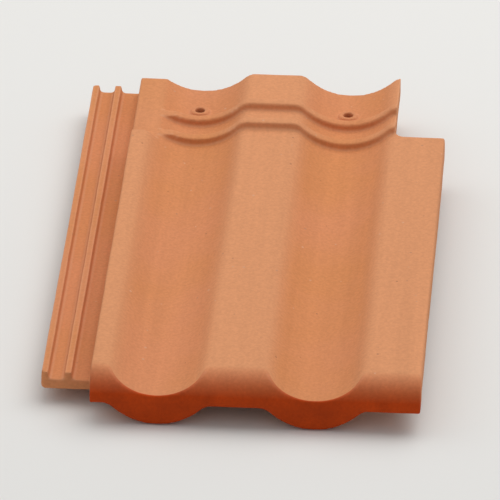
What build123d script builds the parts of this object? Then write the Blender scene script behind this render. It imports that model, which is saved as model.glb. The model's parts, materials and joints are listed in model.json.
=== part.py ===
from build123d import *
import os

os.makedirs("parts", exist_ok=True)

# Driving dimensions, in millimetres

# Format and laying
tile_length = 340  # nose to head, up the slope
gauge = 255  # nose to nose of two courses
cover_width = 180  # joint to joint across the slope
side_lap = 28  # strip at the left that the neighbour covers
joint_gap = 3  # open joint between two neighbours
body_thickness = 10

# Section across the slope
lip_width = 10
trough_width = 52
trough_depth = 12
roll_width = 32
roll_edge_radius = 8
flank_thickening = 2.5  # how far the underside of a trough is wider at each side
arris_radius = 1.5

# Nose, the thick lower end that stands on the tile below
nose_height = 18  # face height at a trough, and the step from course to course
nose_length = 16
nose_round = 16  # radius that turns the end of each roll down
foot_radius = 1.5  # along the lower front edge

# Side lock, ribs on the covered strip and ribs under the cover roll
lock_floor_thickness = 6.5
lock_clearance = 1
outer_rib_width = 5.5
outer_channel_width = 7
inner_rib_width = 5.5
cover_flange_width = 6
cover_rib_width = 4.5
rib_draft_angle = 80
underlap_setback = 20  # the covered strip starts this far above the nose
strip_corner_radius = 4
strip_passage = 3.5  # beside the covered strip of the next course

# Head lock, ribs across the head and one rib across the underside behind the nose
head_rib_height = 4.5
head_rib_width = 7
head_channel_width = 15
counter_rib_width = 7
counter_rib_clearance = 2.5
nose_back_clearance = 3
notch_radius = 6
rib_edge_radius = 1.5

# Nibs that hang on the batten, and the nail holes
nib_width = 26
nib_length = 14
nib_head_inset = 5
nib_slope = 4
nib_edge_radius = 2
nail_hole_diameter = 5
nail_collar_diameter = 11
nail_collar_height = 2.5
nail_to_nib = 9

# Levels above the floor on which the nose and the nibs stand
trough_level = nose_height
roll_level = trough_level + trough_depth
trough_underside = trough_level - body_thickness
body_middle = trough_level - body_thickness / 2
roll_underside = roll_level - body_thickness
nose_arch_level = roll_level - nose_height
lock_floor = trough_underside + lock_floor_thickness
lock_rib_top = roll_underside - lock_clearance
lock_rib_height = lock_rib_top - lock_floor
cover_rib_bottom = lock_floor + lock_clearance
head_rib_top = roll_level + head_rib_height
lowered_lip_level = trough_underside + nose_height - lock_clearance

# Places across the slope, x to the right
overall_width = side_lap + cover_width - joint_gap
left_edge = -overall_width / 2
right_edge = overall_width / 2
lip_left = left_edge + side_lap
first_trough = lip_left + lip_width + trough_width / 2
second_trough = first_trough + trough_width + roll_width
trough_centres = (first_trough, second_trough)
cover_roll_left = second_trough + trough_width / 2
notch_x = left_edge + cover_width - strip_passage
web_width = lip_width - flank_thickening
outer_rib_x = left_edge + outer_rib_width / 2
outer_channel_x = left_edge + outer_rib_width + outer_channel_width / 2
inner_rib_x = left_edge + outer_rib_width + outer_channel_width + inner_rib_width / 2

# Places up the slope, y to the head
nose_y = -tile_length / 2
head_y = tile_length / 2
next_nose_back = nose_y + gauge + nose_length
first_head_rib_y = next_nose_back + nose_back_clearance
second_head_rib_y = first_head_rib_y + head_rib_width + head_channel_width
channel_middle_y = first_head_rib_y + head_rib_width + head_channel_width / 2
counter_rib_y = channel_middle_y - gauge - counter_rib_width / 2
nib_face_y = head_y - nib_head_inset - nib_length
nail_y = nib_face_y - nail_to_nib
overshoot = 2  # how far a cutting shape runs past the clay
level_share = 0.1  # upright part of a face's normal, past which it looks up or down


def across(y):
    """Plane across the slope at y, with x to the right and z up."""
    return Plane.XZ.offset(-y)


def under_wave(trough_z, mouth_width, margin=0):
    """Area below a line of flat rolls and hollow troughs whose bottoms lie at trough_z."""
    radius = (mouth_width**2 / 4 + trough_depth**2) / (2 * trough_depth)
    height = trough_z + trough_depth + overshoot + margin
    with BuildSketch() as area:
        with Locations((lip_left - margin, trough_z + trough_depth)):
            Rectangle(right_edge - lip_left + 2 * margin, height, align=(Align.MIN, Align.MAX))
        with Locations([(x, trough_z + radius) for x in trough_centres]):
            Circle(radius, mode=Mode.SUBTRACT)
        crest = area.vertices().group_by(Axis.Y)[-1].sort_by(Axis.X)
        fillet(crest[1:-1], roll_edge_radius)
        if margin == 0:
            ends = area.vertices().group_by(Axis.Y)[-1].sort_by(Axis.X)
            fillet((ends[0], ends[-1]), arris_radius)
    return area.sketch


def rims(piece, side):
    """Edges across the slope along the faces of a piece that look up (side 1) or down (side -1)."""
    faces = piece.faces().filter_by(lambda face: side * face.normal_at().Z > level_share)
    return faces.edges().filter_by(Plane.XZ)


# Areas whose differences are the sections of the tile
weather_side = under_wave(trough_level, trough_width)
body_core = under_wave(body_middle, trough_width + flank_thickening, overshoot)
body_hollow = under_wave(trough_underside, trough_width + 2 * flank_thickening, overshoot)
nose_hollow = under_wave(trough_level - nose_height, trough_width, overshoot)
counter_rib_hollow = under_wave(counter_rib_clearance, trough_width, overshoot)
head_rib_area = under_wave(trough_level + head_rib_height, trough_width)


# Nose, as deep as the step between two courses
with BuildPart() as nose:
    with BuildSketch(across(nose_y)):
        add(body_core)
        add(nose_hollow, mode=Mode.SUBTRACT)
        with Locations((lip_left, 0)):
            Rectangle(right_edge - lip_left, roll_level, align=Align.MIN, mode=Mode.INTERSECT)
    extrude(amount=-nose_length)
    fillet(rims(nose, -1).group_by(Axis.Y)[0], foot_radius)

# Head rib, which follows the wave of the weather side
with BuildPart() as head_rib:
    with BuildSketch(across(0)):
        add(head_rib_area)
        add(body_core, mode=Mode.SUBTRACT)
    extrude(amount=-head_rib_width)
    fillet(rims(head_rib, 1), rib_edge_radius)
    split(bisect_by=Plane.YZ.offset(notch_x), keep=Keep.BOTTOM)

# Counter rib, which hangs under the tile and stops short of the side lock
with BuildPart() as counter_rib:
    with BuildSketch(across(0)):
        add(body_core)
        add(counter_rib_hollow, mode=Mode.SUBTRACT)
        with Locations((lip_left, 0)):
            Rectangle(
                cover_roll_left + flank_thickening - lip_left,
                roll_level,
                align=Align.MIN,
                mode=Mode.INTERSECT,
            )
    extrude(amount=-counter_rib_width)
    fillet(rims(counter_rib, -1), rib_edge_radius)

# Nib, upright on the side that bears on the batten and sloped behind
with BuildPart() as nib:
    with BuildSketch(Plane.YZ):
        with BuildLine():
            Polyline(
                (0, 0),
                (nib_length - nib_slope, 0),
                (nib_length, body_middle),
                (0, body_middle),
                close=True,
            )
        make_face()
    extrude(amount=nib_width / 2, both=True)
    fillet(nib.edges().filter_by(Axis.Z), nib_edge_radius)
    fillet(nib.faces().sort_by(Axis.Z)[0].edges(), nib_edge_radius / 2)


with BuildPart() as roof_tile:

    # Body, one wavy sheet from nose to head
    with BuildSketch(across(nose_y)):
        add(weather_side)
        add(body_hollow, mode=Mode.SUBTRACT)
    extrude(amount=-tile_length)

    # Web under the lip, from the nose to the head
    with BuildSketch(across(nose_y + nose_length)):
        with Locations((lip_left, nose_arch_level)):
            Rectangle(web_width, roll_underside - nose_arch_level, align=Align.MIN)
    extrude(amount=-(tile_length - nose_length))

    # Covered strip beside the web, a floor with two ribs and two water channels
    with BuildSketch(across(nose_y + underlap_setback)):
        with Locations((left_edge, trough_underside)):
            Rectangle(side_lap + web_width, lock_floor_thickness, align=Align.MIN)
        for x, width in ((outer_rib_x, outer_rib_width), (inner_rib_x, inner_rib_width)):
            with Locations((x, lock_floor)):
                Trapezoid(width, lock_rib_height, rib_draft_angle, align=(Align.CENTER, Align.MIN))
    extrude(amount=-(tile_length - underlap_setback))
    strip_corners = roof_tile.edges().filter_by(Axis.Z).filter_by_position(Axis.X, left_edge, left_edge)
    fillet(strip_corners, strip_corner_radius)

    # Cover roll, with a flange at its edge and a rib that stands in the outer channel
    with BuildSketch(across(nose_y)):
        with Locations((right_edge, cover_rib_bottom)):
            Rectangle(
                cover_flange_width,
                roll_level - arris_radius - cover_rib_bottom,
                align=(Align.MAX, Align.MIN),
            )
        with Locations((outer_channel_x + cover_width, roll_underside)):
            Trapezoid(
                cover_rib_width,
                roll_underside - cover_rib_bottom,
                rib_draft_angle,
                rotation=180,
                align=(Align.CENTER, Align.MAX),
            )
    extrude(amount=-(next_nose_back - nose_y))

    # Upper right corner left out, so that the covered strip of the next course passes
    with BuildSketch(Plane.XY):
        with Locations((notch_x, next_nose_back + lock_clearance)):
            notch = Rectangle(overall_width, tile_length, align=Align.MIN)
        fillet(notch.vertices().group_by(Axis.Y)[0].sort_by(Axis.X)[0], notch_radius)
    extrude(amount=head_rib_top + overshoot, mode=Mode.SUBTRACT)

    # Nose, counter rib behind it and two ribs across the head
    add(nose.part)
    with Locations((0, counter_rib_y, 0)):
        add(counter_rib.part)
    with Locations((0, first_head_rib_y, 0), (0, second_head_rib_y, 0)):
        add(head_rib.part)

    # Lip lowered in the head lap, where the web of the next course passes over it
    with BuildSketch(Plane.XY.offset(lowered_lip_level)):
        with Locations((lip_left, next_nose_back - lock_clearance)):
            Rectangle(first_trough - lip_left, tile_length, align=Align.MIN)
    extrude(amount=head_rib_top, mode=Mode.SUBTRACT)

    # Ends of the rolls turned down to the nose face
    with BuildSketch(Plane.YZ.offset(lip_left - overshoot)):
        with BuildLine():
            turn = CenterArc((nose_y + nose_round, roll_level - nose_round), nose_round, 90, 90)
            Polyline(
                turn @ 0,
                (nose_y + nose_round, roll_level + overshoot),
                (nose_y - overshoot, roll_level + overshoot),
                (nose_y - overshoot, roll_level - nose_round),
                turn @ 1,
            )
        make_face()
    extrude(amount=overall_width + 2 * overshoot, mode=Mode.SUBTRACT)

    # Two hanging nibs under the head
    with Locations([(x, nib_face_y, 0) for x in trough_centres]):
        add(nib.part)

    # Nail holes through the head, over the batten, each in a collar that keeps water out
    with Locations([(x, nail_y, body_middle) for x in trough_centres]):
        Cylinder(
            nail_collar_diameter / 2,
            trough_level + nail_collar_height - body_middle,
            align=(Align.CENTER, Align.CENTER, Align.MIN),
        )
        Hole(nail_hole_diameter / 2)

roof_tile.part.label = "roof_tile"
export_step(roof_tile.part, "parts/roof_tile.step")
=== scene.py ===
import json
import math

import bpy
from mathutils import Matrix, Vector, kdtree

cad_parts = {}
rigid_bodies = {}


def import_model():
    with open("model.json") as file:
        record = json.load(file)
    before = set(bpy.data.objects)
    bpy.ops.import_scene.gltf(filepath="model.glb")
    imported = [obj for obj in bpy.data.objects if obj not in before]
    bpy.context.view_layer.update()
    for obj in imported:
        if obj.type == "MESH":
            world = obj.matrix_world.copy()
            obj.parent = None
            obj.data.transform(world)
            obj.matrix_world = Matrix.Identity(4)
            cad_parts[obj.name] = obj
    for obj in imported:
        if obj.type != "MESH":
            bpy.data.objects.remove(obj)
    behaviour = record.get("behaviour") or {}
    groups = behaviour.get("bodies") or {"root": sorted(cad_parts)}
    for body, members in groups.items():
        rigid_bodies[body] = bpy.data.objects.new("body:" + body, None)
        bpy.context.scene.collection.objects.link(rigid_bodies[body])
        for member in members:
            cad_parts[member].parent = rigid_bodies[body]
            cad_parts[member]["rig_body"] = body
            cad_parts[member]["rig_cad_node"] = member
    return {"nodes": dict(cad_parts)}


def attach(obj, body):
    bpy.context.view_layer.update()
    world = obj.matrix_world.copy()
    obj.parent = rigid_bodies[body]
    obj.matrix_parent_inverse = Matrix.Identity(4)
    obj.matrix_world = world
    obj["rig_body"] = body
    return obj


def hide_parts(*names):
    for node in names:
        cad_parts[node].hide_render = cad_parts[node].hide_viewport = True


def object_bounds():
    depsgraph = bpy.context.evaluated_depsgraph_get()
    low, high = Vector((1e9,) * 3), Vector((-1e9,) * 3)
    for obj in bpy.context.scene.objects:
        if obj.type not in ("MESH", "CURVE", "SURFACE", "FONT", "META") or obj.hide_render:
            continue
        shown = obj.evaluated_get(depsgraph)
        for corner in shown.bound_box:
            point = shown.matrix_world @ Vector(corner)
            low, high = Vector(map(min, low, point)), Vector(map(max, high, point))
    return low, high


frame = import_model()
cad_low, cad_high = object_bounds()

# The camera
# It looks down on the tile from the nose end, a little from the right, with a long lens
# from about four metres, so that the far end is hardly smaller than the near one.
camera_turn = math.radians(4)
camera_height_angle = math.radians(30)
camera_distance = 4.2
picture_width = 0.275  # width at the tile that fills the picture
sensor_width = 36.0
camera_reach = 100
aim = Vector((0.0, -0.004, 0.014))

direction = Vector((
    math.cos(camera_height_angle) * math.sin(camera_turn),
    -math.cos(camera_height_angle) * math.cos(camera_turn),
    math.sin(camera_height_angle),
))
bpy.ops.object.camera_add(location=aim + direction * camera_distance)
camera = bpy.context.object
camera.rotation_euler = (-direction).to_track_quat("-Z", "Y").to_euler()
camera.data.sensor_width = sensor_width
camera.data.lens = sensor_width * camera_distance / picture_width
camera.data.clip_end = camera_reach
bpy.context.scene.camera = camera


# The tile
# One piece of earthenware, pressed in a mould while leather-hard, dried and fired without
# glaze. The mould leaves soft arrises, and drying and fire leave it slightly uneven.
cell = 0.0009  # size of a face of the remeshed skin
smoothing = 0.5  # share of the way to its neighbours that a point moves in one pass
arris_softness = 4  # smoothing passes over the whole skin
face_softness = 30  # further passes over the wide faces
face_turn = math.radians(12)  # an arris or a narrow rib turns more than this within a cell
warp_size = 0.055
warp_depth = 0.00045
press_mark_size = 0.009
press_mark_depth = 0.00018
triangle_budget = 190000
sharp_turn = math.radians(35)  # an edge of the solid that is sharper than this is an arris
arris_reach = 0.0024  # width of the rubbed band, with its painted highlight, at each side of an arris
merge_distance = 0.00001
cad_tile = frame["nodes"]["roof_tile"]

bpy.ops.object.select_all(action="DESELECT")
cad_tile.select_set(True)
bpy.context.view_layer.objects.active = cad_tile
bpy.ops.object.duplicate()
tile = bpy.context.object
tile.name = "fired_tile"
tile.data.name = "fired_tile"
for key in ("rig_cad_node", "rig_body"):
    if key in tile:
        del tile[key]
tile.data.materials.clear()

bpy.ops.object.mode_set(mode="EDIT")
bpy.ops.mesh.select_all(action="SELECT")
bpy.ops.mesh.remove_doubles(threshold=merge_distance)
bpy.ops.mesh.select_all(action="DESELECT")
bpy.ops.mesh.select_mode(type="EDGE")
bpy.ops.mesh.edges_select_sharp(sharpness=sharp_turn)
bpy.ops.object.mode_set(mode="OBJECT")

# Points along the sharp edges, from which the rubbed arrises and their painted highlight are marked further
# on
arris_points = []
for edge in tile.data.edges:
    if edge.select:
        start, end = (tile.data.vertices[i].co for i in edge.vertices)
        steps = max(1, round((end - start).length / cell))
        arris_points += [start.lerp(end, step / steps) for step in range(steps + 1)]
arris_tree = kdtree.KDTree(len(arris_points))
for number, point in enumerate(arris_points):
    arris_tree.insert(point, number)
arris_tree.balance()


def finish_with(kind, **settings):
    """Adds a modifier with its settings to the tile and applies it."""
    modifier = tile.modifiers.new(kind.lower(), kind)
    for name, value in settings.items():
        setattr(modifier, name, value)
    bpy.ops.object.modifier_apply(modifier=modifier.name)


def uneven(name, size, depth):
    """Lets the surface sink by up to depth, in patches about size across."""
    cloud = bpy.data.textures.new(name, "CLOUDS")
    cloud.noise_scale = size
    cloud.noise_depth = 1
    finish_with("DISPLACE", texture=cloud, texture_coords="LOCAL", strength=depth, mid_level=1.0)


finish_with("REMESH", mode="VOXEL", voxel_size=cell)
finish_with("SMOOTH", factor=smoothing, iterations=arris_softness)

# The wide faces are smoothed further, without their arrises and the narrow ribs
bpy.ops.object.mode_set(mode="EDIT")
bpy.ops.mesh.select_mode(type="EDGE")
bpy.ops.mesh.select_all(action="DESELECT")
bpy.ops.mesh.edges_select_sharp(sharpness=face_turn)
for _ in range(2):
    bpy.ops.mesh.select_more()
bpy.ops.mesh.select_all(action="INVERT")
bpy.ops.mesh.vertices_smooth(factor=smoothing, repeat=face_softness)
bpy.ops.object.mode_set(mode="OBJECT")

uneven("drying_warp", warp_size, warp_depth)
uneven("press_marks", press_mark_size, press_mark_depth)

# A remeshed skin is all quads, each of which counts as two triangles
finish_with("DECIMATE", ratio=triangle_budget / (2 * len(tile.data.polygons)))
bpy.ops.object.shade_smooth()

# How near each point is to an arris, from 0 to 1
arris = tile.data.attributes.new("arris", "FLOAT", "POINT")
for number, vertex in enumerate(tile.data.vertices):
    distance = arris_tree.find(vertex.co)[2]
    arris.data[number].value = max(0.0, 1.0 - distance / arris_reach)


# The clay
# Unglazed earthenware, pressed and fired to an orange buff. The eye sees a dull, finely sandy
# skin, with painted light making the rolls paler and pinker and painted shade leaving the troughs more
# orange, faint streaks along the press, arrises paler by rubbing and by a painted highlight, and a nose that
# fired to rust red and is darkened further with painted shade and painted bounce light.
def linear(hex_colour):
    """sRGB hex to linear RGBA."""
    channels = [int(hex_colour[i:i + 2], 16) / 255 for i in (1, 3, 5)]
    return tuple(c / 12.92 if c <= 0.04045 else ((c + 0.055) / 1.055) ** 2.4 for c in channels) + (1.0,)


def node(tree, kind, settings=None, links=None):
    """Adds a node, sets its attributes and socket values, and links its inputs."""
    new = tree.nodes.new(kind)
    for name, value in (settings or {}).items():
        if isinstance(name, str) and hasattr(new, name):
            setattr(new, name, value)
        else:
            new.inputs[name].default_value = value
    for name, source in (links or {}).items():
        tree.links.new(source, new.inputs[name])
    return new


def millimetres(size):
    """Noise scale for patches of that size."""
    return 1000.0 / size


def around_middle(low, high):
    """Settings that spread a noise, most of which lies between 0.3 and 0.7, from low to high."""
    return {"From Min": 0.3, "From Max": 0.7, "To Min": low, "To Max": high}


clay = bpy.data.materials.new("pressed_unglazed_earthenware")
clay.use_nodes = True
tree = clay.node_tree
tree.nodes.clear()

at = node(tree, "ShaderNodeTexCoord").outputs["Object"]
axes = node(tree, "ShaderNodeSeparateXYZ", links={0: at})

# Body of the clay: soft clouds, with painted light making it paler from the flanks up to the rolls and
# painted shade left in the troughs
trough_side = 0.022
roll_side = 0.0295
cloud = node(tree, "ShaderNodeTexNoise", {"Scale": millimetres(75), "Detail": 3.0, "Roughness": 0.5},
             {"Vector": at})
cloud_ramp = node(tree, "ShaderNodeValToRGB", links={0: cloud.outputs["Fac"]})
cloud_ramp.color_ramp.elements[0].position = 0.36
cloud_ramp.color_ramp.elements[0].color = linear("#D2895E")
cloud_ramp.color_ramp.elements[1].position = 0.64
cloud_ramp.color_ramp.elements[1].color = linear("#CF8755")
painted_roll_light = node(tree, "ShaderNodeMapRange",
            {"interpolation_type": "SMOOTHSTEP", "From Min": trough_side, "From Max": roll_side},
            {"Value": axes.outputs["Z"]})
clouds_and_painted_roll_light = node(tree, "ShaderNodeMix", {"data_type": "RGBA", 7: linear("#D69266")},
             {0: painted_roll_light.outputs[0], 6: cloud_ramp.outputs["Color"]})

# Streaks along the press, 9 mm apart and 300 mm long, and sand of 1.6 mm, coarser than the
# real grain so that it shows
stretch = node(tree, "ShaderNodeMapping", {"Scale": (1.0, 0.03, 1.0)}, {"Vector": at})
streak = node(tree, "ShaderNodeTexNoise", {"Scale": millimetres(9), "Detail": 4.0, "Roughness": 0.6},
              {"Vector": stretch.outputs[0]})
streak_tone = node(tree, "ShaderNodeMapRange", around_middle(0.945, 1.045), {"Value": streak.outputs["Fac"]})
sand = node(tree, "ShaderNodeTexNoise", {"Scale": millimetres(1.6), "Detail": 2.0}, {"Vector": at})
sand_tone = node(tree, "ShaderNodeMapRange", around_middle(0.93, 1.06), {"Value": sand.outputs["Fac"]})
tone = node(tree, "ShaderNodeMath", {"operation": "MULTIPLY"},
            {0: streak_tone.outputs[0], 1: sand_tone.outputs[0]})
skin = node(tree, "ShaderNodeMix", {"data_type": "RGBA", "blend_type": "MULTIPLY", 0: 1.0},
            {6: clouds_and_painted_roll_light.outputs[2], 7: tone.outputs[0]})

# Specks of iron and of crushed fired clay, about a millimetre across, a few to a hand's
# breadth: one cell in two has a speck, which shows where its middle lies near the surface
speck_cell = node(tree, "ShaderNodeTexVoronoi", {"Scale": millimetres(6)}, {"Vector": at})
speck_kind = node(tree, "ShaderNodeSeparateColor", links={0: speck_cell.outputs["Color"]})
speck_size = node(tree, "ShaderNodeMapRange",
                  {"From Min": 0.5, "From Max": 1.0, "To Min": 0.0, "To Max": 0.13},
                  {"Value": speck_kind.outputs["Red"]})
speck = node(tree, "ShaderNodeMath", {"operation": "LESS_THAN"},
             {0: speck_cell.outputs["Distance"], 1: speck_size.outputs[0]})
speck_tone = node(tree, "ShaderNodeMix", {"data_type": "RGBA", 6: linear("#7A4630"), 7: linear("#E2B495")},
                  {0: speck_kind.outputs["Green"]})
speck_share = node(tree, "ShaderNodeMath", {"operation": "MULTIPLY", 1: 0.55}, {0: speck.outputs[0]})
specked = node(tree, "ShaderNodeMix", {"data_type": "RGBA"},
               {0: speck_share.outputs[0], 6: skin.outputs[2], 7: speck_tone.outputs[2]})

# Rubbed arrises, paler partly by wear and partly by a painted highlight where they catch the light
arris_nearness = node(tree, "ShaderNodeAttribute", {"attribute_name": "arris"})
wear_and_highlight = node(tree, "ShaderNodeMapRange",
            {"interpolation_type": "SMOOTHSTEP", "From Min": 0.35, "From Max": 0.9,
             "To Min": 0.0, "To Max": 0.5},
            {"Value": arris_nearness.outputs["Fac"]})
worn_and_highlit = node(tree, "ShaderNodeMix", {"data_type": "RGBA", 7: linear("#DDA07A")},
            {0: wear_and_highlight.outputs[0], 6: specked.outputs[2]})

# The rust and painted shade lie on the rounded nose: its skin is nose_round away from the line about which
# the nose is turned, and the colour deepens from the crest of the round to the upright face, as painted
# shade and painted bounce light where the skin turns down away from the light. Below that line the front has
# a small rounded foot, so points down there count as further out.
nose_round = 0.016
roll_top = 0.030
nose_line_y = cad_low[1] + nose_round
nose_line_z = roll_top - nose_round
foot_rounding = 0.003
foot_fade = 0.002
sunk = 0.001  # the skin lies up to this far inside the solid
edge_fade = 0.0008
back = node(tree, "ShaderNodeMath", {"operation": "SUBTRACT", 0: nose_line_y}, {1: axes.outputs["Y"]})
rise = node(tree, "ShaderNodeMath", {"operation": "SUBTRACT", 1: nose_line_z}, {0: axes.outputs["Z"]})
above = node(tree, "ShaderNodeMath", {"operation": "MAXIMUM", 1: 0.0}, {0: rise.outputs[0]})
forward = node(tree, "ShaderNodeMath", {"operation": "MAXIMUM", 1: 0.0}, {0: back.outputs[0]})
from_line = node(tree, "ShaderNodeCombineXYZ", links={"Y": forward.outputs[0], "Z": above.outputs[0]})
length = node(tree, "ShaderNodeVectorMath", {"operation": "LENGTH"}, {0: from_line.outputs[0]})
foot = node(tree, "ShaderNodeMapRange",
            {"From Min": nose_line_z, "From Max": nose_line_z + foot_fade,
             "To Min": foot_rounding, "To Max": 0.0},
            {"Value": axes.outputs["Z"]})
radius = node(tree, "ShaderNodeMath", {"operation": "ADD"}, {0: length.outputs["Value"], 1: foot.outputs[0]})
on_round = node(tree, "ShaderNodeMapRange",
                {"interpolation_type": "SMOOTHSTEP", "From Min": nose_round - sunk - edge_fade,
                 "From Max": nose_round - sunk},
                {"Value": radius.outputs[0]})

# Round the nose's two ends the rust and painted shade run on and fade over a few millimetres of the side
# faces
covered_strip = 0.028
side_fade = 0.010
nose_left = cad_low[0] + covered_strip
nose_middle_x = (nose_left + cad_high[0]) / 2
nose_half_width = (cad_high[0] - nose_left) / 2
from_middle = node(tree, "ShaderNodeMath", {"operation": "SUBTRACT", 1: nose_middle_x},
                   {0: axes.outputs["X"]})
beside = node(tree, "ShaderNodeMath", {"operation": "ABSOLUTE"}, {0: from_middle.outputs[0]})
at_side = node(tree, "ShaderNodeMapRange",
               {"From Min": nose_half_width - sunk - edge_fade, "From Max": nose_half_width - sunk},
               {"Value": beside.outputs[0]})
near_front = node(tree, "ShaderNodeMapRange",
                  {"interpolation_type": "SMOOTHSTEP", "From Min": nose_round - side_fade,
                   "From Max": nose_round},
                  {"Value": radius.outputs[0]})
on_side = node(tree, "ShaderNodeMath", {"operation": "MULTIPLY"},
               {0: at_side.outputs[0], 1: near_front.outputs[0]})
on_nose = node(tree, "ShaderNodeMath", {"operation": "MAXIMUM"},
               {0: on_round.outputs[0], 1: on_side.outputs[0]})

# Turn of the skin about that line, from the crest down: the painted shade deepens with it
turn = node(tree, "ShaderNodeMath", {"operation": "ARCTAN2"}, {0: forward.outputs[0], 1: above.outputs[0]})
depth = node(tree, "ShaderNodeMapRange", {"From Min": math.radians(3), "From Max": math.radians(74)},
             {"Value": turn.outputs[0]})
rust_and_shade_share = node(tree, "ShaderNodeMath", {"operation": "MULTIPLY", "use_clamp": True},
                  {0: on_nose.outputs[0], 1: depth.outputs[0]})
flash = node(tree, "ShaderNodeTexNoise", {"Scale": millimetres(16), "Detail": 3.0, "Roughness": 0.6},
             {"Vector": at})
flash_tone = node(tree, "ShaderNodeMapRange", around_middle(0.86, 1.12), {"Value": flash.outputs["Fac"]})
nose_tone = node(tree, "ShaderNodeMath", {"operation": "MULTIPLY"},
                 {0: tone.outputs[0], 1: flash_tone.outputs[0]})
# Dark rust red: fired colour darkened to stand for painted shade and painted bounce light on the nose
rust_and_shade_colour = node(tree, "ShaderNodeMix",
            {"data_type": "RGBA", "blend_type": "MULTIPLY", 0: 1.0, 6: linear("#B53E07")},
            {7: nose_tone.outputs[0]})
colour = node(tree, "ShaderNodeMix", {"data_type": "RGBA"},
              {0: rust_and_shade_share.outputs[0], 6: worn_and_highlit.outputs[2], 7: rust_and_shade_colour.outputs[2]})

# Grain and streaks that a finger would feel
grain = node(tree, "ShaderNodeTexNoise", {"Scale": millimetres(0.9), "Detail": 3.0, "Roughness": 0.6},
             {"Vector": at})
grain_bump = node(tree, "ShaderNodeBump", {"Strength": 0.3, "Distance": 0.0003},
                  {"Height": grain.outputs["Fac"]})
streak_bump = node(tree, "ShaderNodeBump", {"Strength": 0.3, "Distance": 0.0003},
                   {"Height": streak.outputs["Fac"], "Normal": grain_bump.outputs[0]})
shader = node(tree, "ShaderNodeBsdfPrincipled", {"Roughness": 0.88, "IOR": 1.5, "Specular IOR Level": 0.2},
              {"Base Color": colour.outputs[2], "Normal": streak_bump.outputs[0]})
node(tree, "ShaderNodeOutputMaterial", links={"Surface": shader.outputs[0]})

tile.data.materials.append(clay)
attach(tile, "root")
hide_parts("roof_tile")


# The studio
# A plain pale floor under an even pale room, as under an overcast sky. A wide soft panel above
# the head and a weak one at the left give the waves their shade.
floor_size = 12
bpy.ops.mesh.primitive_plane_add(size=floor_size, location=(0, 0, cad_low[2]))
floor = bpy.context.object
floor.name = "floor"
plaster = bpy.data.materials.new("matt_pale_plaster")
plaster.use_nodes = True
plaster.node_tree.nodes["Principled BSDF"].inputs["Base Color"].default_value = linear("#E4E2DE")
plaster.node_tree.nodes["Principled BSDF"].inputs["Roughness"].default_value = 0.9
floor.data.materials.append(plaster)


def soft_light(name, place, size, power):
    """A square area light that faces the tile."""
    bpy.ops.object.light_add(type="AREA", location=place)
    light = bpy.context.object
    light.name = name
    light.data.size = size
    light.data.energy = power
    light.rotation_euler = (-Vector(place)).to_track_quat("-Z", "Y").to_euler()


soft_light("sky_panel", (0.6, 0.8, 2.0), 2.2, 34)
soft_light("side_panel", (-1.2, 0.5, 1.6), 1.6, 7)

world = bpy.data.worlds.new("room")
bpy.context.scene.world = world
world.use_nodes = True
world.node_tree.nodes["Background"].inputs["Color"].default_value = linear("#EEF0F2")
world.node_tree.nodes["Background"].inputs["Strength"].default_value = 0.52
bpy.context.scene.view_settings.view_transform = "Standard"
